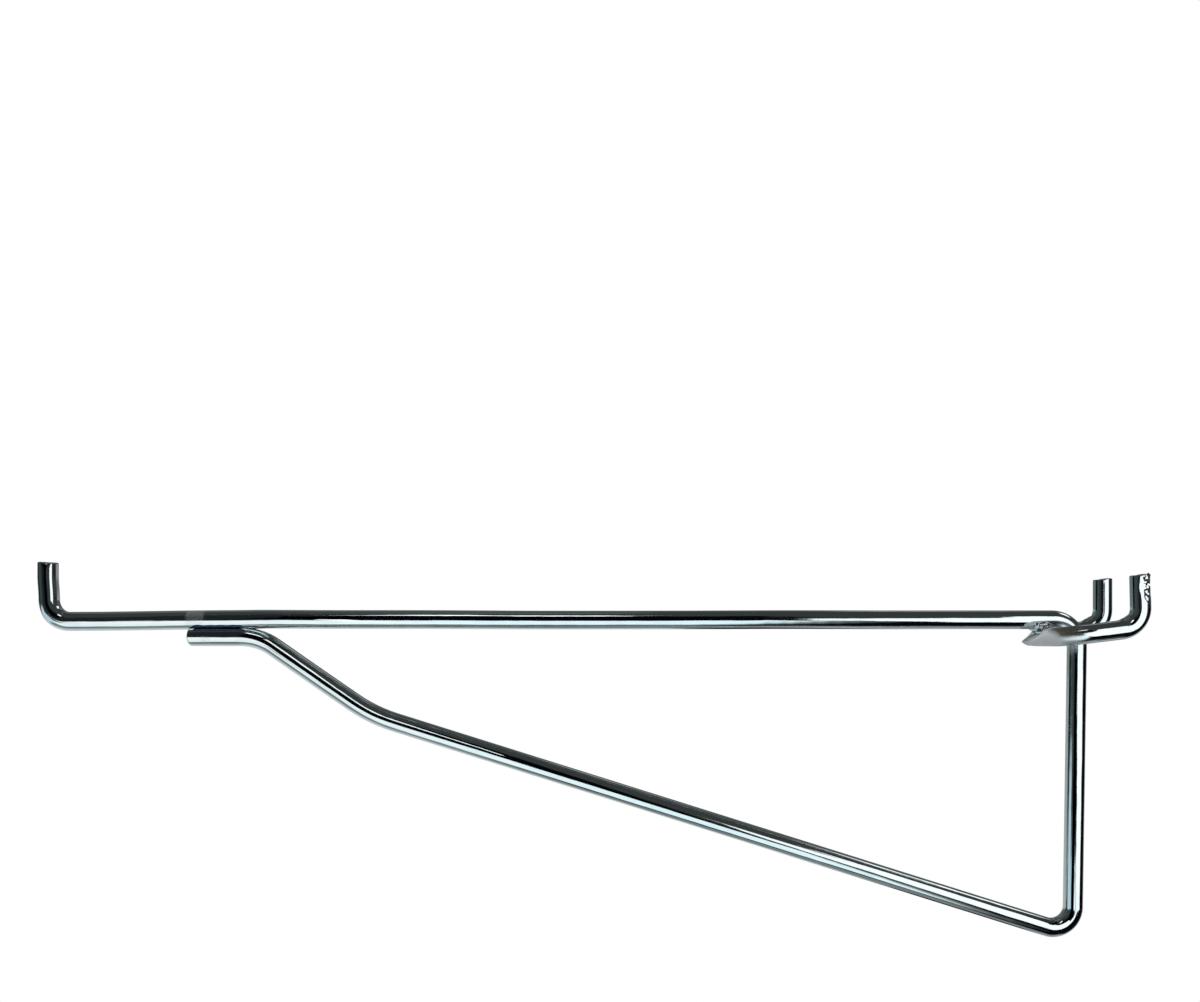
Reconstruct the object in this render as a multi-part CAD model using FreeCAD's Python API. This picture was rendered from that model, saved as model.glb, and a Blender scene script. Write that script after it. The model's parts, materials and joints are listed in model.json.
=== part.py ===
# Shelf hook for a perforated board, bent and welded from round steel wire.
#
# Two wires make the whole hook. The frame wire starts at the upturned tip, runs back as
# the arm that carries the shelf, turns down as the leg that bears on the board, turns
# forward as the long brace, bends up into the steep brace and ends under the arm, where
# it is welded to itself. The peg wire is a U that passes under the arm in front of the
# leg, where it is welded, and its two ends turn up as the pegs behind the board.
#
# Millimetres. X runs from the tip towards the board, Z is up along the pegs and Y runs
# across the hook. The origin lies midway between the pegs, at the foot of their straight
# length.

import FreeCAD
import Part
import math
import os

from FreeCAD import Vector

# Wire, and the pegs that hook into the board
wire_d = 5.56
end_break = 0.4
peg_spacing = 25.4
peg_straight = 9.65
peg_bend_r = 6.3
peg_arm_rise_deg = 7.0
board_gap = 7.4
apex_to_board = 15.5

# Tip, arm and leg of the frame wire
shelf_depth = 304.8
tip_rise = 17.4
tip_bend_r = 6.4
rear_bend_r = 7.5
leg_drop = 93.0
leg_lean_deg = 0.88
foot_bend_r = 6.3

# Brace of the frame wire
long_brace = 217.2
long_brace_deg = 17.43
knee_bend_r = 46.0
steep_brace_deg = 34.5
wrist_bend_r = 18.2
brace_end = 20.2

# Weld of the brace end: how far the wires sink into each other, and the bead in the lap
brace_setdown = 0.9
brace_bead_length = 7.5
brace_bead_width = 4.8
brace_bead_from_end = 4.6

# Weld of the apex: its neck of metal, and the bevel where the front of the U burnt back
apex_setdown = 0.4
neck_d = 4.8
nose_bevel = 2.5
nose_bevel_deg = 41.5


def polar(angle_deg):
    """Unit vector in the side view, turned up from the +X direction."""
    angle = math.radians(angle_deg)
    return Vector(math.cos(angle), 0, math.sin(angle))


def setback(bend_r, turn):
    """Distance from a corner of the centreline to the start of its bend."""
    return bend_r * math.tan(turn / 2)


# Places of the peg wire, whose arms rise from the apex to the corners below the pegs
wire_r = wire_d / 2
board_x = -(wire_r + board_gap)
peg_y = peg_spacing / 2
peg_turn = math.radians(90 - peg_arm_rise_deg)
peg_corner_z = -setback(peg_bend_r, peg_turn)
apex_x = board_x - apex_to_board
apex_z = peg_corner_z + apex_x * math.tan(math.radians(peg_arm_rise_deg))
apex = Vector(apex_x, 0, apex_z)

# Places of the frame wire
arm_z = apex_z + wire_d - apex_setdown
tip_x = board_x - shelf_depth - wire_r
leg_top = Vector(board_x - wire_r, 0, arm_z)
leg_foot = leg_top - Vector(leg_drop * math.tan(math.radians(leg_lean_deg)), 0, leg_drop)
knee = leg_foot + polar(180 - long_brace_deg) * long_brace
brace_end_z = arm_z - (wire_d - brace_setdown)
steep_brace = (brace_end_z - knee.z) / math.sin(math.radians(steep_brace_deg))
wrist = knee + polar(180 - steep_brace_deg) * steep_brace
brace_tip = wrist - Vector(brace_end, 0, 0)


def joined(pieces):
    """One solid from pieces that meet or overlap."""
    return pieces[0].fuse(pieces[1:]).removeSplitter().Solids[0]


def straight(start, end):
    """Straight run of wire between two points of its centreline."""
    return Part.makeCylinder(wire_r, start.distanceToPoint(end), start, end - start)


def break_ends(wire, ends):
    """Small chamfer round both cut ends of a wire."""
    rims = [
        edge for edge in wire.Edges
        if isinstance(edge.Curve, Part.Circle)
        and min(edge.Curve.Center.distanceToPoint(end) for end in ends) < 1e-4
    ]
    return wire.makeChamfer(end_break, rims)


def bent_wire(corners, bend_radii):
    """Round wire along the corner points, bent to a centreline radius at each one."""
    pieces = []
    start = corners[0]
    for before, corner, after, bend_r in zip(corners, corners[1:], corners[2:], bend_radii):
        inward = (corner - before).normalize()
        outward = (after - corner).normalize()
        turn = inward.getAngle(outward)
        bend_start = corner - inward * setback(bend_r, turn)
        hinge = inward.cross(outward).normalize()
        centre = bend_start + hinge.cross(inward) * bend_r
        if start.distanceToPoint(bend_start) > 1e-6:
            pieces.append(straight(start, bend_start))
        section = Part.Face(Part.Wire(Part.makeCircle(wire_r, bend_start, inward)))
        pieces.append(section.revolve(centre, hinge, math.degrees(turn)))
        start = corner + outward * setback(bend_r, turn)
    pieces.append(straight(start, corners[-1]))
    return break_ends(joined(pieces), (corners[0], corners[-1]))


def frame_wire():
    """Tip, arm, leg and brace: one wire, welded to itself under the arm."""
    tip_top = Vector(tip_x, 0, arm_z + tip_rise)
    tip_corner = Vector(tip_x, 0, arm_z)
    wire = bent_wire(
        [tip_top, tip_corner, leg_top, leg_foot, knee, wrist, brace_tip],
        [tip_bend_r, rear_bend_r, foot_bend_r, knee_bend_r, wrist_bend_r],
    )
    return joined([wire, brace_bead()])


def brace_bead():
    """Weld metal that fills the lap between the brace end and the arm."""
    low = Vector(
        brace_tip.x + brace_bead_from_end - brace_bead_length / 2,
        -brace_bead_width / 2,
        brace_end_z,
    )
    bead = Part.makeBox(brace_bead_length, brace_bead_width, arm_z - brace_end_z, low)
    upright = [edge for edge in bead.Edges if abs(edge.tangentAt(0).z) > 0.99]
    return bead.makeFillet(brace_bead_width * 0.45, upright)


def peg_wire(frame):
    """U under the arm with its ends turned up as pegs, pressed to the arm's shape."""
    near_top, near_corner, near_apex = [
        Vector(x, -peg_y, z) for x, z in ((0, peg_straight), (0, peg_corner_z), (apex_x, apex_z))
    ]
    far_apex, far_corner, far_top = [
        Vector(point.x, peg_y, point.z) for point in (near_apex, near_corner, near_top)
    ]
    wire = bent_wire(
        [near_top, near_corner, near_apex, far_apex, far_corner, far_top],
        [peg_bend_r, peg_y, peg_y, peg_bend_r],
    )
    return joined([wire, neck()]).cut(bevel_block()).cut(frame).Solids[0]


def bevel_block():
    """Block that bevels the front of the apex, where the metal burnt back."""
    along = polar(nose_bevel_deg)
    square = polar(nose_bevel_deg + 90)
    middle = apex + square * (wire_r - nose_bevel) - Vector(0, peg_y, 0)
    front = middle - along * wire_d
    back = middle + along * wire_d * 0.6
    outline = [front, back, back + square * wire_d, front + square * wire_d, front]
    return Part.Face(Part.makePolygon(outline)).extrude(Vector(0, peg_spacing, 0))


def neck():
    """Neck of weld metal between the apex and the arm."""
    return Part.makeCylinder(neck_d / 2, arm_z - apex_z, apex)


frame = frame_wire()
parts = {"frame_wire": frame, "peg_wire": peg_wire(frame)}
os.makedirs("parts", exist_ok=True)
for name, solid in parts.items():
    solid.exportStep(f"parts/{name}.step")
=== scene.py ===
"""Shelf hook for a perforated board, bent and welded from bright zinc-plated wire.

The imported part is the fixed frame. Both wires are drawn again here with finer bends, cut
ends, dents and weld metal, and each replaces the CAD node that it stands for.
Metres; X runs from the tip towards the board, Z is up and Y runs across the hook.
"""

import json
import math

import bmesh
import bpy
from bpy.props import FloatProperty, FloatVectorProperty, IntProperty, PointerProperty
from bpy.types import Operator, Panel, PropertyGroup
from mathutils import Matrix, Vector

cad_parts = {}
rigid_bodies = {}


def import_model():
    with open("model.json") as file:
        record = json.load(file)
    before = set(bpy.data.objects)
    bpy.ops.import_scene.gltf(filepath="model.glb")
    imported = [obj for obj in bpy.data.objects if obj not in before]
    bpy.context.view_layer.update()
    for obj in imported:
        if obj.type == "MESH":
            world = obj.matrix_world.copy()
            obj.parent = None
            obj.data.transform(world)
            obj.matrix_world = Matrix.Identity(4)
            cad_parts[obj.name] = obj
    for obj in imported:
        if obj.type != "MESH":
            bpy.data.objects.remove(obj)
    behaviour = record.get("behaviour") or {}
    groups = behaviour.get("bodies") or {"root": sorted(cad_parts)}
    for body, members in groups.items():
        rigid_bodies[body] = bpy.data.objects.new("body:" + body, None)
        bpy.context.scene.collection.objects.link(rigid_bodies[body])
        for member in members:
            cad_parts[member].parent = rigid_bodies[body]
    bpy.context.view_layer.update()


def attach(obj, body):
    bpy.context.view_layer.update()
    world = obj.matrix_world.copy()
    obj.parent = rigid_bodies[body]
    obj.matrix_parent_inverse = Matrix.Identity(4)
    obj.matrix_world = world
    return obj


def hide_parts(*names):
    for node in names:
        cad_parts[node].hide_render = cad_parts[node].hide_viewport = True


bl_info = {
    "name": "Pegboard Shelf Hook",
    "version": (1, 0, 0),
    "blender": (4, 5, 0),
    "location": "View3D > Sidebar > Hook",
    "description": "Bent wires, welds and studio of a pegboard shelf hook",
    "category": "Object",
}

MM = 0.001
PHOTO_WIDTH = 1200  # pixels across the photograph's frame
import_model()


def length(name, description, millimetres):
    """Property that holds a length."""
    return FloatProperty(
        name=name, description=description, default=millimetres * MM,
        unit="LENGTH", precision=5,
    )


def angle(name, description, degrees):
    """Property that holds an angle."""
    return FloatProperty(
        name=name, description=description, default=math.radians(degrees),
        subtype="ANGLE", precision=3,
    )


def srgb(code):
    """Linear colour of an sRGB hex value."""
    channels = [int(code[i:i + 2], 16) / 255 for i in (0, 2, 4)]
    return tuple(
        c / 12.92 if c <= 0.04045 else ((c + 0.055) / 1.055) ** 2.4 for c in channels
    )


def colour(name, description, code):
    """Property that holds a colour."""
    return FloatVectorProperty(
        name=name, description=description, default=srgb(code),
        subtype="COLOR", size=3, min=0, max=1,
    )


class WireSizes(PropertyGroup):
    wire_d: length("Wire", "Diameter of the round wire", 5.56)
    end_break: length("End rim", "Rounding at the rim of a cut end", 0.4)
    sides: IntProperty(name="Sides", description="Faces round the wire", default=56, min=12)
    shelf_depth: length("Shelf depth", "From the tip's inner face to the leg's back", 304.8)
    tip_rise: length("Tip rise", "Height of the tip's end above the arm's axis", 17.4)
    tip_bend_r: length("Tip bend", "Bend radius at the tip, on the axis", 6.4)
    rear_bend_r: length("Rear bend", "Bend radius between arm and leg", 7.5)
    leg_drop: length("Leg drop", "Height of the leg between its corners", 93.0)
    leg_lean: angle("Leg lean", "Lean of the leg's foot away from the board", 0.88)
    foot_bend_r: length("Foot bend", "Bend radius at the foot of the leg", 6.3)
    long_brace: length("Long brace", "Length of the long brace between its corners", 217.2)
    long_brace_slope: angle("Long brace slope", "Rise of the long brace", 17.43)
    knee_bend_r: length("Knee bend", "Bend radius between the two braces", 46.0)
    steep_brace_slope: angle("Steep brace slope", "Rise of the steep brace", 34.5)
    wrist_bend_r: length("Wrist bend", "Bend radius below the arm", 18.2)
    brace_end: length("Brace end", "Run from the wrist's corner to the cut end", 20.2)
    brace_setdown: length("Brace set-down", "How far the brace sank into the arm", 0.9)


class PegSizes(PropertyGroup):
    spacing: length("Peg spacing", "Distance between the pegs, one hole pitch", 25.4)
    straight: length("Peg height", "Straight height of a peg above its bend", 9.65)
    bend_r: length("Peg bend", "Bend radius below a peg, on the axis", 6.3)
    arm_rise: angle("Arm rise", "Rise of the U from its apex to the pegs", 7.0)
    board_gap: length("Board slot", "Slot between the pegs and the leg's back", 7.4)
    apex_to_board: length("Apex", "From the apex of the U to the leg's back", 15.5)
    apex_setdown: length("Apex set-down", "How far the apex sank into the arm", 0.4)
    near_lean: angle("Near peg lean", "Lean of the near peg towards the tip", 2.0)


class FinishColours(PropertyGroup):
    zinc: colour("Zinc", "Bright zinc plating", "D9E0E1")
    zinc_deep: colour("Deep zinc", "Where the plating is a little thicker", "C6D0D1")
    burnt: colour("Burnt zinc", "Zinc dulled by the heat of the weld", "B4BABC")
    heat_tint: colour("Heat tint", "Straw to brown film beside the apex weld", "A09A8B")
    fused: colour("Fused zinc", "Bright skin of the metal that melted at the weld", "CDD4D6")
    # Painted shade: the dark navy lap colour stands in for the shade in the narrow gap between the
    # brace end and the arm, with lighter flecks.
    lap: colour("Lap", "Blackened zinc in the brace's lap", "1E2736")
    lap_light: colour("Light lap", "Lighter flecks in the lap", "46556A")


class StudioSizes(PropertyGroup):
    camera_x: length("Camera X", "Place of the camera along the hook", -139.5)
    camera_y: length("Camera Y", "Distance of the camera in front of the hook", -311.0)
    camera_z: length("Camera Z", "Height of the camera", -6.85)
    lens: FloatProperty(name="Lens", description="Focal length in mm", default=31.5)
    floor_z: length("Floor", "Height of the floor", -230.0)
    floor: colour("Floor colour", "Pale matt floor", "F2F2F0")


def polar(turn):
    """Unit vector in the side view, turned up from the +X direction."""
    return Vector((math.cos(turn), 0, math.sin(turn)))


def setback(bend_r, turn):
    """Distance from a corner of the centreline to the start of its bend."""
    return bend_r * math.tan(turn / 2)


def route(wire, pegs):
    """Corners of both wires' centrelines, by name."""
    r = wire.wire_d / 2
    board_x = -(r + pegs.board_gap)
    corner_z = -setback(pegs.bend_r, math.pi / 2 - pegs.arm_rise)
    apex_x = board_x - pegs.apex_to_board
    apex_z = corner_z + apex_x * math.tan(pegs.arm_rise)
    arm_z = apex_z + wire.wire_d - pegs.apex_setdown
    tip_x = board_x - wire.shelf_depth - r
    leg_top = Vector((board_x - r, 0, arm_z))
    foot = leg_top - Vector((wire.leg_drop * math.tan(wire.leg_lean), 0, wire.leg_drop))
    knee = foot + polar(math.pi - wire.long_brace_slope) * wire.long_brace
    end_z = arm_z - wire.wire_d + wire.brace_setdown
    steep = (end_z - knee.z) / math.sin(wire.steep_brace_slope)
    wrist = knee + polar(math.pi - wire.steep_brace_slope) * steep
    side = Vector((0, pegs.spacing / 2, 0))
    return {
        "tip_top": Vector((tip_x, 0, arm_z + wire.tip_rise)),
        "tip": Vector((tip_x, 0, arm_z)),
        "leg_top": leg_top,
        "foot": foot,
        "knee": knee,
        "wrist": wrist,
        "brace_end": wrist - Vector((wire.brace_end, 0, 0)),
        "apex": Vector((apex_x, 0, apex_z)),
        "side": side,
        "peg_corner": Vector((0, 0, corner_z)),
        "peg_top": Vector((0, 0, pegs.straight)),
    }


def lone(piece):
    """Makes piece the only selected object and the active one."""
    bpy.ops.object.select_all(action="DESELECT")
    piece.select_set(True)
    bpy.context.view_layer.objects.active = piece


def new_piece(name):
    """Names the primitive that was just added."""
    piece = bpy.context.object
    piece.name = piece.data.name = name
    return piece


def millimetres(x, y, z):
    """Place or move in metres from millimetres."""
    return Vector((x, y, z)) * MM


def mark_ring(piece, run_length):
    """Notes on the newest ring how far along the straight wire it was."""
    mesh = bmesh.from_edit_mesh(piece.data)
    layer = mesh.verts.layers.float_vector["straight_wire"]
    for vert in mesh.verts:
        if vert.select:
            vert[layer] = Vector((vert[layer].x, vert[layer].y, run_length))
    bmesh.update_edit_mesh(piece.data)


def start_wire(name, wire, place, heading):
    """First ring of a wire, in edit mode, with its place on the straight wire noted."""
    bpy.ops.object.select_all(action="DESELECT")
    across = Vector((0, 1, 0)) if abs(heading.y) < 0.5 else Vector((0, 0, 1))
    turn = Matrix((across.cross(heading), across, heading)).transposed().to_euler()
    bpy.ops.mesh.primitive_circle_add(
        vertices=wire.sides, radius=wire.wire_d / 2, fill_type="NOTHING",
        location=place, rotation=turn,
    )
    bpy.ops.object.transform_apply(location=True, rotation=True, scale=True)
    piece = new_piece(name)
    bpy.ops.object.mode_set(mode="EDIT")
    bpy.ops.mesh.select_mode(type="VERT")
    bpy.ops.mesh.select_all(action="SELECT")
    mesh = bmesh.from_edit_mesh(piece.data)
    layer = mesh.verts.layers.float_vector.new("straight_wire")
    for index, vert in enumerate(mesh.verts):
        around = 2 * math.pi * index / wire.sides
        vert[layer] = Vector((math.cos(around), math.sin(around), 0)) * wire.wire_d / 2
    bmesh.update_edit_mesh(piece.data)
    return piece


def draw_wire(name, wire, corners, bends, spacings, bend_step):
    """Round wire along the corners, left in edit mode with both ends closed.

    Straight runs are extruded and bends are spun, one ring at a time. spacings gives the
    distance between the rings of each straight run.
    """
    heading = (corners[1] - corners[0]).normalized()
    piece = start_wire(name, wire, corners[0], heading)
    place = corners[0].copy()
    done = 0.0
    stops = list(zip(corners[1:-1], corners[2:], bends)) + [(corners[-1], None, 0)]
    for (corner, after, bend_r), spacing in zip(stops, spacings):
        heading = (corner - place).normalized()
        turn = heading.angle(after - corner) if after else 0
        run = (corner - place).length - setback(bend_r, turn)
        steps = max(1, round(run / spacing)) if run > 1e-6 else 0
        for _ in range(steps):
            bpy.ops.mesh.extrude_region_move(
                TRANSFORM_OT_translate={"value": heading * run / steps}
            )
            done += run / steps
            mark_ring(piece, done)
        place = place + heading * run
        if after:
            outward = (after - corner).normalized()
            hinge = heading.cross(outward).normalized()
            centre = place + hinge.cross(heading) * bend_r
            steps = max(3, round(turn / bend_step))
            for _ in range(steps):
                bpy.ops.mesh.spin(
                    steps=1, angle=-turn / steps, center=centre, axis=hinge, dupli=False
                )
                done += bend_r * turn / steps
                mark_ring(piece, done)
            place = corner + outward * setback(bend_r, turn)
    close_ends(piece, wire)
    return piece


def close_ends(piece, wire):
    """Closes both cut ends with rings that shrink to the middle, and rounds their rims."""
    bpy.ops.mesh.select_all(action="DESELECT")
    bpy.ops.mesh.select_mode(type="EDGE")
    bpy.ops.mesh.select_non_manifold(
        use_wire=False, use_boundary=True, use_multi_face=False, use_non_contiguous=False,
        use_verts=False,
    )
    bpy.ops.mesh.fill_holes(sides=0)
    mesh = bmesh.from_edit_mesh(piece.data)
    for face in mesh.faces:
        face.select = len(face.verts) == wire.sides
    mesh.select_flush_mode()
    bmesh.update_edit_mesh(piece.data)
    bpy.ops.mesh.select_mode(type="FACE")
    bpy.ops.mesh.bevel(offset=wire.end_break, segments=4, profile=0.55)
    for _ in range(4):
        bpy.ops.mesh.select_mode(type="FACE")
        mesh = bmesh.from_edit_mesh(piece.data)
        for face in mesh.faces:
            face.select = len(face.verts) == wire.sides
        bmesh.update_edit_mesh(piece.data)
        bpy.ops.mesh.inset(thickness=wire.wire_d * 0.085, depth=0)
    bpy.ops.mesh.select_all(action="SELECT")
    bpy.ops.mesh.normals_make_consistent(inside=False)
    bpy.ops.mesh.select_mode(type="VERT")


def choose(piece, test):
    """Selects the vertices whose place passes the test, in edit mode."""
    mesh = bmesh.from_edit_mesh(piece.data)
    for part in (*mesh.faces, *mesh.edges, *mesh.verts):
        part.select = False
    chosen = 0
    for vert in mesh.verts:
        if test(vert.co):
            vert.select = True
            chosen += 1
    mesh.select_flush_mode()
    bmesh.update_edit_mesh(piece.data)
    if not chosen:
        raise RuntimeError(f"nothing to shape on {piece.name}")


def nudge(piece, test, move, reach):
    """Moves the chosen vertices and drags along what lies within reach."""
    choose(piece, test)
    bpy.ops.transform.translate(
        value=move, use_proportional_edit=True, use_proportional_connected=True,
        proportional_edit_falloff="SMOOTH", proportional_size=reach,
    )


def near(place, radius):
    """Test that a point lies within radius of a place."""
    return lambda point: (point - place).length < radius


def press(piece, point, normal, inside=lambda place: True):
    """Presses flat what stands out past a plane."""
    choose(piece, lambda place: (place - point).dot(normal) > 0 and inside(place))
    mesh = bmesh.from_edit_mesh(piece.data)
    for vert in mesh.verts:
        if vert.select:
            depth = (vert.co - point).dot(normal)
            vert.co -= normal * depth * 0.97
    bmesh.update_edit_mesh(piece.data)
    bpy.ops.mesh.select_more()
    bpy.ops.mesh.vertices_smooth(factor=0.4, repeat=2)


def roughen(piece, test, texture, size, strength, level=0.6):
    """Dents the vertices that pass the test with a procedural texture, in object mode."""
    bpy.ops.object.mode_set(mode="OBJECT")
    lone(piece)
    group = piece.vertex_groups.new(name="worked")
    for vert in piece.data.vertices:
        weight = test(vert.co)
        if weight > 0:
            group.add([vert.index], min(weight, 1.0), "REPLACE")
    pattern = bpy.data.textures.new("worked_metal", texture)
    pattern.noise_scale = size
    if texture == "CLOUDS":
        pattern.noise_depth = 0
    dents = piece.modifiers.new("dents", "DISPLACE")
    dents.texture = pattern
    dents.texture_coords = "LOCAL"
    dents.vertex_group = "worked"
    dents.mid_level = level
    dents.strength = strength
    bpy.ops.object.modifier_apply(modifier="dents")
    piece.vertex_groups.clear()


def lumps(name, places, voxel, dent_size, dent_depth):
    """Weld metal: round lumps melted into one skin and dented."""
    made = []
    for place, size in places:
        bpy.ops.object.select_all(action="DESELECT")
        bpy.ops.mesh.primitive_ico_sphere_add(
            subdivisions=4, radius=1, location=millimetres(*place), scale=millimetres(*size)
        )
        bpy.ops.object.transform_apply(location=True, rotation=True, scale=True)
        made.append(new_piece(name))
    for piece in made:
        piece.select_set(True)
    bpy.ops.object.join()
    piece = bpy.context.object
    skin = piece.modifiers.new("skin", "REMESH")
    skin.mode = "VOXEL"
    skin.voxel_size = voxel
    bpy.ops.object.modifier_apply(modifier="skin")
    roughen(piece, lambda place: 1.0, "CLOUDS", dent_size, dent_depth)
    worn = piece.modifiers.new("worn", "SMOOTH")
    worn.factor = 0.5
    worn.iterations = 3
    bpy.ops.object.modifier_apply(modifier="worn")
    bpy.ops.object.shade_smooth()
    return piece


def weld_on(piece, flash):
    """Joins weld metal to the wire that it sits on."""
    lone(piece)
    flash.select_set(True)
    bpy.ops.object.join()


def plate(piece):
    """Smooths a drawn wire and gives it the bright zinc, in object mode."""
    bpy.ops.object.shade_smooth_by_angle(angle=math.radians(40))
    piece.data.materials.append(bpy.data.materials["bright_zinc_plating"])


def finish_piece(piece, node_name):
    """Gives a piece its body and the CAD node that it stands for."""
    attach(piece, "root")
    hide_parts(node_name)


def node(tree, kind, settings=None, **links):
    """Adds a node: settings by attribute or input name, links by input name or place."""
    made = tree.nodes.new(kind)
    for key, value in (settings or {}).items():
        if isinstance(key, str) and hasattr(made, key):
            setattr(made, key, value)
        else:
            made.inputs[key].default_value = value
    for key, source in links.items():
        place = int(key[1:]) if key[1:].isdigit() else key.replace("_", " ")
        tree.links.new(source, made.inputs[place])
    return made


def patch(tree, spot, centre, reach, edge):
    """Mask that is 1 inside an ellipsoid, given in millimetres, and fades over its edge."""
    local = node(tree, "ShaderNodeMapping", {
        "vector_type": "TEXTURE", "Location": millimetres(*centre), "Scale": millimetres(*reach),
    }, Vector=spot)
    away = node(tree, "ShaderNodeVectorMath", {"operation": "LENGTH"}, _0=local.outputs[0])
    return node(tree, "ShaderNodeMapRange", {
        "interpolation_type": "SMOOTHSTEP", "From Min": 1 - edge, "From Max": 1 + edge,
        "To Min": 1.0, "To Max": 0.0,
    }, Value=away.outputs["Value"]).outputs[0]


def slab(tree, spot, low, high, edge):
    """Mask that is 1 between two corners, given in millimetres, with crisp sides."""
    split = node(tree, "ShaderNodeSeparateXYZ", None, Vector=spot)
    mask = None
    for axis, start, end in zip(range(3), low, high):
        half = (end - start) / 2 * MM
        away = node(tree, "ShaderNodeMath", {"operation": "SUBTRACT", 1: (start + end) / 2 * MM},
                    _0=split.outputs[axis])
        away = node(tree, "ShaderNodeMath", {"operation": "ABSOLUTE"}, _0=away.outputs[0])
        side = node(tree, "ShaderNodeMapRange", {
            "From Min": half - edge * MM, "From Max": half + edge * MM,
            "To Min": 1.0, "To Max": 0.0}, Value=away.outputs[0])
        mask = side if mask is None else node(
            tree, "ShaderNodeMath", {"operation": "MULTIPLY"},
            _0=mask.outputs[0], _1=side.outputs[0])
    return mask.outputs[0]


def zinc_plating(colours):
    """Bright zinc on drawn steel wire.

    It gives the eye a dark mirror with long soft streaks from the drawing die, a slight
    waver in its reflections, and dull grey skin where the electrodes and the heat touched.
    """
    material = bpy.data.materials.new("bright_zinc_plating")
    material.use_nodes = True
    tree = material.node_tree
    shader = tree.nodes["Principled BSDF"]
    place = node(tree, "ShaderNodeTexCoord").outputs["Object"]
    unrolled = node(tree, "ShaderNodeAttribute", {"attribute_name": "straight_wire"})
    # The ragged rims of the dull patches wander by about 0.4 mm.
    ragged = node(tree, "ShaderNodeTexNoise", {"Scale": 1100.0, "Detail": 2.0}, Vector=place)
    wander = node(tree, "ShaderNodeVectorMath", {
        "operation": "MULTIPLY_ADD", 1: (0.0009, 0.0009, 0.0009),
        2: (-0.00045, -0.00045, -0.00045)}, _0=ragged.outputs["Color"])
    spot = node(tree, "ShaderNodeVectorMath", {"operation": "ADD"},
                _0=place, _1=wander.outputs[0]).outputs[0]
    nose = patch(tree, spot, (-24.5, 0, -9.8), (5.6, 13.0, 4.4), 0.22)
    satin = patch(tree, spot, (-22.0, 0, -9.4), (8.6, 18.0, 5.6), 0.35)
    arm_mark = slab(tree, spot, (-276.0, -4.0, -5.3), (-270.7, 0.6, -0.6), 0.25)
    brace_mark = slab(tree, spot, (-271.4, -4.0, -10.9), (-268.7, 0.0, -8.1), 0.25)
    marks = node(tree, "ShaderNodeMath", {"operation": "MAXIMUM"}, _0=arm_mark, _1=brace_mark)
    # The electrodes only dimmed the arm and the brace end, and burnt the nose right through.
    faint = node(tree, "ShaderNodeMath", {"operation": "MULTIPLY", 1: 0.11}, _0=marks.outputs[0])
    dull = node(tree, "ShaderNodeMath", {"operation": "MAXIMUM"},
                _0=nose, _1=faint.outputs[0]).outputs[0]
    # Draw lines: real ones are about 0.05 mm wide, drawn here 0.4 mm wide so that they show.
    along = node(tree, "ShaderNodeMapping", {"Scale": (1.0, 1.0, 0.03)},
                 Vector=unrolled.outputs["Vector"])
    streaks = node(tree, "ShaderNodeTexNoise", {"Scale": 2200.0, "Detail": 3.0},
                   Vector=along.outputs[0])
    waver = node(tree, "ShaderNodeTexNoise", {"Scale": 140.0, "Detail": 1.0}, Vector=place)
    grain = node(tree, "ShaderNodeTexNoise", {"Scale": 4500.0, "Detail": 3.0}, Vector=place)
    lines = node(tree, "ShaderNodeBump", {"Strength": 0.35, "Distance": 0.00004},
                 Height=streaks.outputs[0])
    bent = node(tree, "ShaderNodeBump", {"Strength": 0.5, "Distance": 0.00009},
                Height=waver.outputs[0], Normal=lines.outputs[0])
    pitted = node(tree, "ShaderNodeMath", {"operation": "MULTIPLY"},
                  _0=grain.outputs[0], _1=dull)
    skin = node(tree, "ShaderNodeBump", {"Strength": 0.25, "Distance": 0.00003},
                Height=pitted.outputs[0], Normal=bent.outputs[0])
    tree.links.new(skin.outputs[0], shader.inputs["Normal"])
    worn = node(tree, "ShaderNodeMapRange", {
        "From Min": 0.35, "From Max": 0.75, "To Min": 0.045, "To Max": 0.11,
    }, Value=streaks.outputs[0])
    soft = node(tree, "ShaderNodeMix", {3: 0.34}, _0=satin, _2=worn.outputs[0])
    rough = node(tree, "ShaderNodeMix", {3: 0.62}, _0=dull, _2=soft.outputs[0])
    tree.links.new(rough.outputs[0], shader.inputs["Roughness"])
    # Where the zinc burnt to oxide it is mostly a grey powder, with some metal left.
    haze = node(tree, "ShaderNodeMath", {"operation": "MULTIPLY", 1: 0.1}, _0=satin)
    oxide = node(tree, "ShaderNodeMath", {"operation": "MAXIMUM"}, _0=dull, _1=haze.outputs[0])
    bare = node(tree, "ShaderNodeMapRange", {"To Min": 1.0, "To Max": 0.1},
                Value=oxide.outputs[0])
    tree.links.new(bare.outputs[0], shader.inputs["Metallic"])
    cloud = node(tree, "ShaderNodeTexNoise", {"Scale": 220.0, "Detail": 2.0}, Vector=place)
    plated = node(tree, "ShaderNodeMix", {
        "data_type": "RGBA", 6: (*colours.zinc, 1), 7: (*colours.zinc_deep, 1),
    }, _0=cloud.outputs[0])
    heat = patch(tree, spot, (-20.2, -10.5, -6.2), (4.0, 5.0, 2.4), 0.5)
    tinted = node(tree, "ShaderNodeMix", {"data_type": "RGBA", 7: (*colours.heat_tint, 1)},
                  _0=heat, _6=plated.outputs[2])
    burnt = node(tree, "ShaderNodeMix", {"data_type": "RGBA", 7: (*colours.burnt, 1)},
                 _0=dull, _6=tinted.outputs[2])
    tree.links.new(burnt.outputs[2], shader.inputs["Base Color"])
    return material


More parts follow.
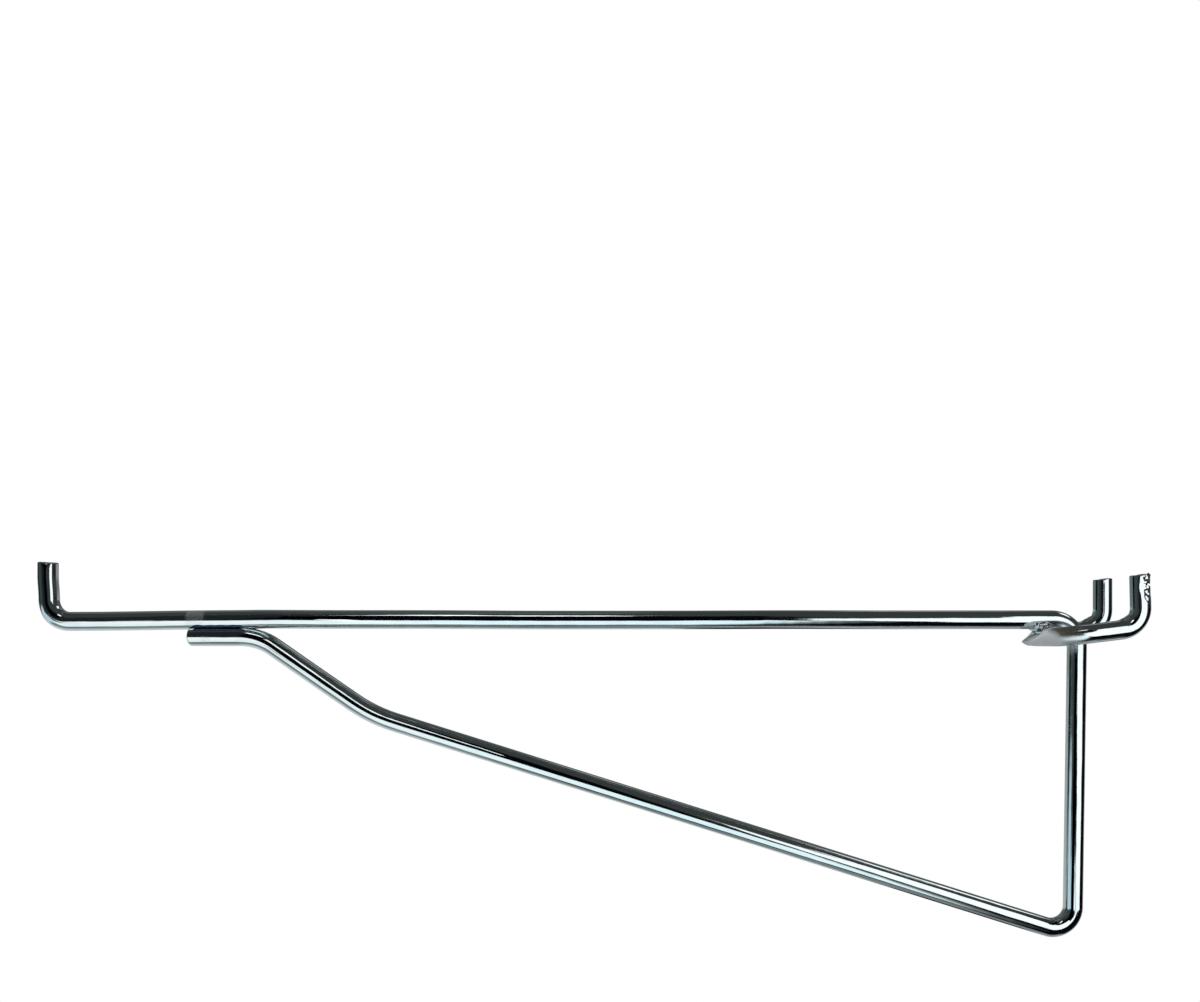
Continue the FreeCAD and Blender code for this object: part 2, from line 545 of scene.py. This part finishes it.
def lap_shade_paint(colours):
    """Painted shade: dark navy zinc in the lap between two welded wires, standing in for the shade
    in the narrow gap there.

    It gives the eye a dark blue satin seam with lighter flecks.
    """
    material = bpy.data.materials.new("lap_painted_shade")
    material.use_nodes = True
    tree = material.node_tree
    shader = tree.nodes["Principled BSDF"]
    shader.inputs["Metallic"].default_value = 1.0
    place = node(tree, "ShaderNodeTexCoord").outputs["Object"]
    mottle = node(tree, "ShaderNodeTexNoise", {"Scale": 900.0, "Detail": 3.0}, Vector=place)
    skin = node(tree, "ShaderNodeMix", {
        "data_type": "RGBA", 6: (*colours.lap, 1), 7: (*colours.lap_light, 1),
    }, _0=mottle.outputs[0])
    tree.links.new(skin.outputs[2], shader.inputs["Base Color"])
    rough = node(tree, "ShaderNodeMapRange", {"To Min": 0.18, "To Max": 0.4},
                 Value=mottle.outputs[0])
    tree.links.new(rough.outputs[0], shader.inputs["Roughness"])
    bump = node(tree, "ShaderNodeBump", {"Strength": 0.4, "Distance": 0.00008},
                Height=mottle.outputs[0])
    tree.links.new(bump.outputs[0], shader.inputs["Normal"])
    return material


def weld_metal(colours):
    """Zinc and steel that melted together round the weld: a bright skin, wrinkled as it set."""
    material = bpy.data.materials.new("fused_weld_zinc")
    material.use_nodes = True
    shader = material.node_tree.nodes["Principled BSDF"]
    shader.inputs["Metallic"].default_value = 1.0
    shader.inputs["Base Color"].default_value = (*colours.fused, 1)
    shader.inputs["Roughness"].default_value = 0.12
    return material


class HOOK_OT_finishes(Operator):
    """Mixes the finishes of the hook"""

    bl_idname = "hook.finishes"
    bl_label = "Finishes"

    def execute(self, context):
        colours = context.scene.hook_colours
        zinc_plating(colours)
        lap_shade_paint(colours)
        weld_metal(colours)
        return {"FINISHED"}


class HOOK_OT_frame_wire(Operator):
    """Bends the frame wire: tip, arm, leg and braces, with its brace weld"""

    bl_idname = "hook.frame_wire"
    bl_label = "Frame Wire"

    def execute(self, context):
        wire = context.scene.hook_wire
        at = route(wire, context.scene.hook_pegs)
        corners = [at[key] for key in (
            "tip_top", "tip", "leg_top", "foot", "knee", "wrist", "brace_end")]
        bends = [
            wire.tip_bend_r, wire.rear_bend_r, wire.foot_bend_r, wire.knee_bend_r,
            wire.wrist_bend_r,
        ]
        spacings = [0.6 * MM, 2 * MM, 3 * MM, 4 * MM, 3 * MM, 0.6 * MM]
        piece = draw_wire("frame_wire_drawn", wire, corners, bends, spacings, math.radians(3))
        self.bow_arm(piece, at)
        self.settle_brace(piece, at)
        self.cut_tip(piece, at)
        bpy.ops.object.mode_set(mode="OBJECT")
        plate(piece)
        self.squeeze_bead(piece, at)
        finish_piece(piece, "frame_wire")
        return {"FINISHED"}

    def bow_arm(self, piece, at):
        """The arm of the real hook bows up a little in its middle and at its rear."""
        low = at["tip"].z - 4 * MM
        for x, spread, rise, reach in (
            (-225, 12, 0.42, 85), (-268, 4, 0.2, 35), (-33.5, 11.5, 0.34, 110),
            (-122, 14, 0.24, 50),
        ):
            nudge(piece, lambda place: abs(place.x - x * MM) < spread * MM and place.z > low,
                  millimetres(0, 0, rise), reach * MM)

    def settle_brace(self, piece, at):
        """The brace end sags from the arm, and its shear bevelled the lower rim."""
        end = at["brace_end"]
        nudge(piece, lambda place: place.x < end.x + 0.013 and abs(place.z - end.z) < 0.003,
              millimetres(0, 0, -0.2), 0.012)
        press(piece, end + millimetres(0.1, 0, -1.2), -polar(math.radians(15.5)),
              lambda place: place.z < end.z + 0.0012 and place.x < end.x + 0.004)

    def cut_tip(self, piece, at):
        """The tip's left is pressed in, and its sheared end has a low side and a nick."""
        top = at["tip_top"]
        nudge(piece, lambda place: abs(place.z - top.z + 0.0115) < 0.0007
              and place.x < top.x + 0.003, millimetres(0.35, 0, 0), 0.007)
        nudge(piece, lambda place: place.z > top.z - 0.0003 and place.x > top.x + 0.0012,
              millimetres(0, 0, -0.12), 0.0015)
        nudge(piece, near(top + millimetres(0.6, -2.3, -0.2), 0.0005),
              millimetres(0, 0.35, -0.3), 0.0011)

    def squeeze_bead(self, piece, at):
        """Metal squeezed out along the lap between the brace end and the arm, coloured as painted
        shade of the gap.
        """
        end = at["brace_end"] / MM
        middle = end.z + 3.2
        bead = lumps("lap_bead", (
            ((end.x + 3.2, 0, middle), (3.6, 2.5, 1.0)),
            ((end.x + 7.0, 0, middle), (5.6, 2.45, 1.0)),
            ((end.x + 10.0, 0, middle + 0.05), (6.0, 2.45, 1.0)),
            ((end.x + 13.5, 0, middle + 0.05), (6.0, 2.4, 0.95)),
            ((end.x + 17.0, 0, middle + 0.1), (5.6, 2.1, 0.8)),
        ), 0.16 * MM, 3.0 * MM, 0.12 * MM)
        # Its dark lap colour is painted shade of the narrow gap between the brace end and the arm.
        bead.data.materials.append(bpy.data.materials["lap_painted_shade"])
        weld_on(piece, bead)


class HOOK_OT_peg_wire(Operator):
    """Bends the U under the arm, turns its ends up as pegs and welds its apex on"""

    bl_idname = "hook.peg_wire"
    bl_label = "Peg Wire"

    def execute(self, context):
        wire = context.scene.hook_wire
        pegs = context.scene.hook_pegs
        at = route(wire, pegs)
        side = at["side"]
        lean = Vector((math.tan(pegs.near_lean) * pegs.straight, 0, 0))
        corners = [
            at["peg_top"] - side - lean, at["peg_corner"] - side, at["apex"] - side,
            at["apex"] + side, at["peg_corner"] + side, at["peg_top"] + side,
        ]
        bends = [pegs.bend_r, side.y, side.y, pegs.bend_r]
        spacings = [0.35 * MM, 0.8 * MM, 1 * MM, 0.8 * MM, 0.35 * MM]
        piece = draw_wire("peg_wire_drawn", wire, corners, bends, spacings, math.radians(2.5))
        self.press_nose(piece, at)
        self.swell_bends(piece, at)
        self.cut_pegs(piece, at)
        self.dent_near_peg(piece, at, wire.wire_d / 2)
        plate(piece)
        self.squeeze_flash(piece)
        finish_piece(piece, "peg_wire")
        return {"FINISHED"}

    def press_nose(self, piece, at):
        """The lower electrode left a flat under the apex, and its front burnt back."""
        apex = at["apex"]

        def front(place):
            return place.x < apex.x + 0.009

        press(piece, Vector((apex.x, 0, -0.011)), Vector((0, 0, -1)), front)
        slope = (polar(math.radians(131.5)) + Vector((0, 0.1, 0))).normalized()
        press(piece, apex + slope * 0.28 * MM, slope, front)
        nudge(piece, near(apex + millimetres(-1.9, 2.6, -1.2), 0.0016),
              millimetres(-0.7, 0, 0.6), 0.004)

    def swell_bends(self, piece, at):
        """Metal that the tight bends pushed up on their inside."""
        for y, size in ((-at["side"].y, 0.6), (at["side"].y, 0.9)):
            side = Vector((0, y, 0))
            nudge(piece, near(millimetres(-4.6, 0, -3.1) + side, 0.0007),
                  millimetres(-0.1, 0, 0.62) * size, 0.0016)
            nudge(piece, near(millimetres(-2.9, 0, -1.2) + side, 0.0005),
                  millimetres(0.2, 0, -0.15) * size, 0.0010)

    def cut_pegs(self, piece, at):
        """Sheared ends with a low side."""
        top = at["peg_top"].z
        for y in (-at["side"].y, at["side"].y):
            nudge(piece, lambda place: place.z > top - 0.0004 and place.x < -0.0004
                  and abs(place.y - y) < 0.004, millimetres(0, 0, -0.4), 0.0009)

    def dent_near_peg(self, piece, at, wire_r):
        """Pliers gouged the front and right of the near peg."""
        middle = millimetres(1.1, -2.6, 6.3) - at["side"]

        def worked(place):
            away = place - middle
            return 1.5 - math.hypot(away.x / 0.0018, away.y / 0.0020, away.z / 0.0034)

        roughen(piece, worked, "STUCCI", 1.1 * MM, 1.1 * MM, 1.0)
        # Pliers only push metal in, so nothing stands out past the round wire.
        edge = -at["side"].y - wire_r
        for vert in piece.data.vertices:
            vert.co.y = max(vert.co.y, edge)

    def squeeze_flash(self, piece):
        """Lumpy metal squeezed out round the weld between the apex and the arm."""
        flash = lumps("apex_flash", (
            ((-25.6, -2.1, -5.0), (0.7, 1.3, 1.1)),
            ((-23.6, -2.3, -4.6), (1.8, 1.2, 0.8)),
            ((-24.9, -2.9, -6.7), (1.4, 1.5, 1.0)),
            ((-22.1, -2.7, -5.9), (1.8, 1.3, 0.55)),
            ((-24.4, 0, -6.0), (2.4, 2.5, 1.4)),
            ((-25.8, 1.9, -5.6), (0.8, 1.3, 1.0)),
            ((-23.3, 2.2, -5.2), (1.9, 1.3, 1.0)),
            ((-21.9, 1.6, -6.1), (1.6, 1.6, 0.7)),
        ), 0.2 * MM, 1.9 * MM, 0.4 * MM)
        flash.data.materials.append(bpy.data.materials["fused_weld_zinc"])
        weld_on(piece, flash)


def zone(tree, base, azimuth, elevation, spans, soft, tint, level):
    """Lays a soft-edged patch of light or dark over base, by direction in degrees."""
    mask = None
    for source, (low, high) in zip((azimuth, elevation), spans):
        rise = node(tree, "ShaderNodeMapRange", {
            "interpolation_type": "SMOOTHSTEP",
            "From Min": low - soft / 2, "From Max": low + soft / 2}, Value=source)
        fall = node(tree, "ShaderNodeMapRange", {
            "interpolation_type": "SMOOTHSTEP",
            "From Min": high - soft / 2, "From Max": high + soft / 2,
            "To Min": 1.0, "To Max": 0.0}, Value=source)
        for part in (rise, fall):
            if mask is None:
                mask = part.outputs[0]
            else:
                mask = node(tree, "ShaderNodeMath", {"operation": "MULTIPLY"},
                            _0=mask, _1=part.outputs[0]).outputs[0]
    light = tuple(c * level for c in srgb(tint))
    return node(tree, "ShaderNodeMix", {"data_type": "RGBA", 7: (*light, 1)},
                _0=mask, _6=base).outputs[2]


class HOOK_OT_studio(Operator):
    """Sets up the floor, the soft studio light and the camera"""

    bl_idname = "hook.studio"
    bl_label = "Studio"

    def execute(self, context):
        studio = context.scene.hook_studio
        self.light_world(context)
        self.hang_cards(context)
        self.hang_lamps(context)
        self.lay_floor(studio)
        data = bpy.data.cameras.new("camera")
        data.lens = studio.lens
        data.sensor_width = 36
        data.shift_x = -50 / PHOTO_WIDTH
        data.shift_y = 131 / PHOTO_WIDTH
        data.clip_start = 0.01
        camera = bpy.data.objects.new("camera", data)
        context.scene.collection.objects.link(camera)
        camera.location = (studio.camera_x, studio.camera_y, studio.camera_z)
        camera.rotation_euler = (math.pi / 2, 0, 0)
        context.scene.camera = camera
        context.scene.view_settings.view_transform = "Standard"
        return {"FINISHED"}

    def light_world(self, context):
        """Dim room over a bright table, as polished wire mirrors them in a studio.

        Azimuth 0 is towards the camera and 90 towards the board.
        """
        world = bpy.data.worlds.new("studio")
        context.scene.world = world
        world.use_nodes = True
        tree = world.node_tree
        back = tree.nodes["Background"]
        output = tree.nodes["World Output"]
        place = node(tree, "ShaderNodeTexCoord")
        split = node(tree, "ShaderNodeSeparateXYZ", None, Vector=place.outputs["Generated"])
        front = node(tree, "ShaderNodeMath", {"operation": "MULTIPLY", 1: -1.0},
                     _0=split.outputs["Y"])
        azimuth = node(tree, "ShaderNodeMath", {"operation": "ARCTAN2"},
                       _0=split.outputs["X"], _1=front.outputs[0])
        azimuth = node(tree, "ShaderNodeMath", {"operation": "DEGREES"},
                       _0=azimuth.outputs[0]).outputs[0]
        elevation = node(tree, "ShaderNodeMath", {"operation": "ARCSINE"},
                         _0=split.outputs["Z"])
        elevation = node(tree, "ShaderNodeMath", {"operation": "DEGREES"},
                         _0=elevation.outputs[0]).outputs[0]
        room = node(tree, "ShaderNodeRGB")
        room.outputs[0].default_value = (0.050, 0.056, 0.056, 1)
        light = room.outputs[0]
        zones = (
            # azimuth from, to, elevation from, to, soft edge in degrees, tint, level
            # The dim room behind and above, which the upper rims mirror.
            (-200, -100, 3, 60, 30, "C8D0CE", 0.16),
            (120, 200, 3, 60, 30, "C8D0CE", 0.20),
            (-190, -18, 74, 95, 16, "C8D0CE", 0.20),
            (-200, -120, -2, 60, 10, "B8C8C4", 0.28),
            (-98, -62, -8, 40, 10, "9AB0B8", 0.18),
            # The wall behind, in the side rims of the pegs and the leg.
            (-200, -114, -2, 6, 4, "C8D8D4", 0.32),
            (-200, -114, -18, -1, 3, "C8D8D4", 0.72),
            (122, 200, -18, 6, 10, "D8D4DC", 0.60),
            # The table: grey straight below, and lighter behind, in the lower rims.
            (-200, 200, -95, -17, 6, "E2ECEC", 0.34),
            (-200, -95, -60, -14, 22, "DDE4E8", 1.0),
            (100, 200, -60, -14, 22, "DDE4E8", 1.0),
            (130, 160, -80, -4, 6, "DAD4DE", 0.60),
            (164, 177, -66, -12, 4, "16161C", 1.0),
            (-110, -88, -6, 4, 5, "08090A", 1.0),
            # Its bright front, in the leg's lower left and in the wires' lower sides.
            (-102, -44, -30, -10, 4, "D4ECF6", 1.0),
            (-87, -59, -12, -5, 4, "D4ECF6", 1.0),
            (-52, -30, -58, -18, 4, "F4FCFF", 1.3),
            (-31, -20, -60, -8, 4, "FFFFFF", 1.35),
            (-22, 9, -60, -10, 4, "EAFAFF", 1.4),
            (-60, 12, -70, -61, 5, "5C666A", 0.45),
            # Dark at the front of the room, which parts the white bands.
            (13, 75, -80, -14, 6, "0A0A12", 1.0),
            (66, 118, -60, 3, 8, "0C0C0E", 1.0),
            (-43, -34, -16, 10, 4, "0A0C10", 1.0),
            (-38, -22, -6, 58, 4, "26282C", 1.0),
            (-22, 9, -11.5, 45, 3, "050608", 1.0),
            # A bright corner of the table, in the arm beside the tip.
            (-34, -26, -12, -2.5, 2.5, "FFFFFF", 1.35),
            # Strips of light, whose mirror images are the thin white lines.
            (-24, -2, 47, 55, 2.5, "FFFFFF", 2.0),
            (150, 163, 47, 55, 4, "FFFFFF", 0.6),
            (91, 123, 42, 57, 5, "FFFFFF", 1.6),
        )
        for a0, a1, e0, e1, soft, tint, level in zones:
            light = zone(tree, light, azimuth, elevation, ((a0, a1), (e0, e1)), soft, tint, level)
        tree.links.new(light, back.inputs["Color"])
        white = node(tree, "ShaderNodeBackground", {"Color": (1, 1, 1, 1), "Strength": 1.0})
        path = node(tree, "ShaderNodeLightPath")
        mix = node(tree, "ShaderNodeMixShader", None, _0=path.outputs["Is Camera Ray"],
                   _1=back.outputs[0], _2=white.outputs[0])
        tree.links.new(mix.outputs[0], output.inputs["Surface"])

    def hang_cards(self, context):
        """White cards and black flags, whose mirror images are bands along the wires."""
        at = route(context.scene.hook_wire, context.scene.hook_pegs)
        outline = (
            (-50, 60), (11, 80), (60, 105), (95, 230), (200, 260), (330, 180), (440, 80),
            (360, 0), (430, -100), (450, -240), (50, -160), (11, -95), (-50, -45),
        )
        self.hang_card("card_by_camera", [millimetres(x, -280, z) for x, z in outline], 1.5)
        wrist, knee = at["wrist"], at["knee"]
        ahead = knee + polar(-context.scene.hook_wire.long_brace_slope) * 0.042
        self.hang_card("slip_by_braces", [
            wrist + millimetres(1.0, -22, 13.0), wrist + millimetres(4.6, -22, 19.3),
            knee + millimetres(3.0, -22, 14.0), ahead + millimetres(-1.3, -22, 8.4),
            ahead + millimetres(-1.3, -22, 5.6), knee + millimetres(0.5, -22, 9.0),
        ], 1.5)
        # Black flags keep the white slip off the arm, and the table off the leg.
        self.hang_card("flag_by_arm", [
            millimetres(x, -8, z) for x, z in ((-250, -3.2), (-250, 2), (-226, 2), (-226, -3.2))
        ], 0)
        self.hang_card("flag_by_leg", [
            millimetres(x, -6, z) for x, z in (
                (-17.4, -13), (-15.8, -13), (-15.3, -60), (-15.8, -91), (-18.8, -91), (-18.3, -60))
        ], 0)

    def hang_card(self, name, rim, glow):
        """Flat card that only mirrors see: white where it glows, else a black flag."""
        bpy.ops.object.select_all(action="DESELECT")
        bpy.ops.mesh.primitive_circle_add(vertices=len(rim), radius=1, fill_type="NGON")
        card = new_piece(name)
        for vert, place in zip(card.data.vertices, rim):
            vert.co = place
        finish = "white_card_glow" if glow else "black_felt"
        material = bpy.data.materials.get(finish)
        if material is None:
            material = bpy.data.materials.new(finish)
            material.use_nodes = True
            tree = material.node_tree
            tree.nodes.remove(tree.nodes["Principled BSDF"])
            light = node(tree, "ShaderNodeEmission", {"Color": (1, 1, 1, 1), "Strength": glow})
            tree.links.new(light.outputs[0], tree.nodes["Material Output"].inputs["Surface"])
        card.data.materials.append(material)
        card.visible_camera = False
        card.visible_diffuse = False
        card.visible_shadow = False

    def hang_lamps(self, context):
        """Two large soft lamps above the floor, kept out of the wires' mirror images."""
        for name, place, size, power in (
            ("soft_lamp_above", (-0.35, -0.25, 1.5), 1.4, 24),
            ("soft_lamp_left", (-1.5, -0.9, 0.9), 1.0, 9),
        ):
            data = bpy.data.lights.new(name, "AREA")
            data.shape = "SQUARE"
            data.size = size
            data.energy = power
            lamp = bpy.data.objects.new(name, data)
            context.scene.collection.objects.link(lamp)
            lamp.location = place
            aim = Vector((-0.15, 0, -0.05)) - Vector(place)
            lamp.rotation_euler = aim.to_track_quat("-Z", "Y").to_euler()
            lamp.visible_glossy = False

    def lay_floor(self, studio):
        """Pale matt floor that keeps the shadow and fades into the white behind."""
        bpy.ops.object.select_all(action="DESELECT")
        bpy.ops.mesh.primitive_plane_add(size=8, location=(-0.14, 0, studio.floor_z))
        bpy.ops.object.transform_apply(location=True, rotation=True, scale=True)
        floor = new_piece("floor")
        material = bpy.data.materials.new("pale_matt_floor")
        material.use_nodes = True
        tree = material.node_tree
        shader = tree.nodes["Principled BSDF"]
        shader.inputs["Base Color"].default_value = (*studio.floor, 1)
        shader.inputs["Roughness"].default_value = 0.9
        path = node(tree, "ShaderNodeLightPath")
        share = node(tree, "ShaderNodeMath", {"operation": "MULTIPLY", 1: 0.3},
                     _0=path.outputs["Is Camera Ray"])
        glow = node(tree, "ShaderNodeEmission", {"Color": (1, 1, 1, 1)},
                    Strength=share.outputs[0])
        lit = node(tree, "ShaderNodeAddShader", None, _0=shader.outputs[0], _1=glow.outputs[0])
        place = node(tree, "ShaderNodeTexCoord").outputs["Object"]
        local = node(tree, "ShaderNodeMapping", {
            "vector_type": "TEXTURE", "Location": (-0.15, 0, studio.floor_z),
            "Scale": (0.34, 0.22, 1)}, Vector=place)
        away = node(tree, "ShaderNodeVectorMath", {"operation": "LENGTH"}, _0=local.outputs[0])
        fade = node(tree, "ShaderNodeMapRange", {
            "interpolation_type": "SMOOTHSTEP", "From Min": 0.6, "From Max": 1.35,
        }, Value=away.outputs["Value"])
        seen = node(tree, "ShaderNodeMath", {"operation": "MULTIPLY"},
                    _0=fade.outputs[0], _1=path.outputs["Is Camera Ray"])
        white = node(tree, "ShaderNodeEmission", {"Color": (1, 1, 1, 1), "Strength": 1.0})
        both = node(tree, "ShaderNodeMixShader", None, _0=seen.outputs[0],
                    _1=lit.outputs[0], _2=white.outputs[0])
        tree.links.new(both.outputs[0], tree.nodes["Material Output"].inputs["Surface"])
        floor.data.materials.append(material)
        floor.visible_glossy = False


class HOOK_PT_panel(Panel):
    """Sizes of the hook and the steps that make it"""

    bl_idname = "HOOK_PT_panel"
    bl_label = "Pegboard Shelf Hook"
    bl_space_type = "VIEW_3D"
    bl_region_type = "UI"
    bl_category = "Hook"

    def draw(self, context):
        for group in ("hook_wire", "hook_pegs", "hook_colours", "hook_studio"):
            box = self.layout.box()
            settings = getattr(context.scene, group)
            for key in settings.__annotations__:
                box.prop(settings, key)
        for step in STEPS:
            self.layout.operator(step.bl_idname)


STEPS = (HOOK_OT_finishes, HOOK_OT_frame_wire, HOOK_OT_peg_wire, HOOK_OT_studio)
GROUPS = {
    "hook_wire": WireSizes,
    "hook_pegs": PegSizes,
    "hook_colours": FinishColours,
    "hook_studio": StudioSizes,
}


def register():
    for cls in (*GROUPS.values(), *STEPS, HOOK_PT_panel):
        bpy.utils.register_class(cls)
    for name, group in GROUPS.items():
        setattr(bpy.types.Scene, name, PointerProperty(type=group))


def unregister():
    for name in GROUPS:
        delattr(bpy.types.Scene, name)
    for cls in (HOOK_PT_panel, *reversed(STEPS), *GROUPS.values()):
        bpy.utils.unregister_class(cls)


def main():
    register()
    bpy.ops.hook.finishes()
    bpy.ops.hook.frame_wire()
    bpy.ops.hook.peg_wire()
    bpy.ops.hook.studio()


if __name__ == "__main__":
    main()
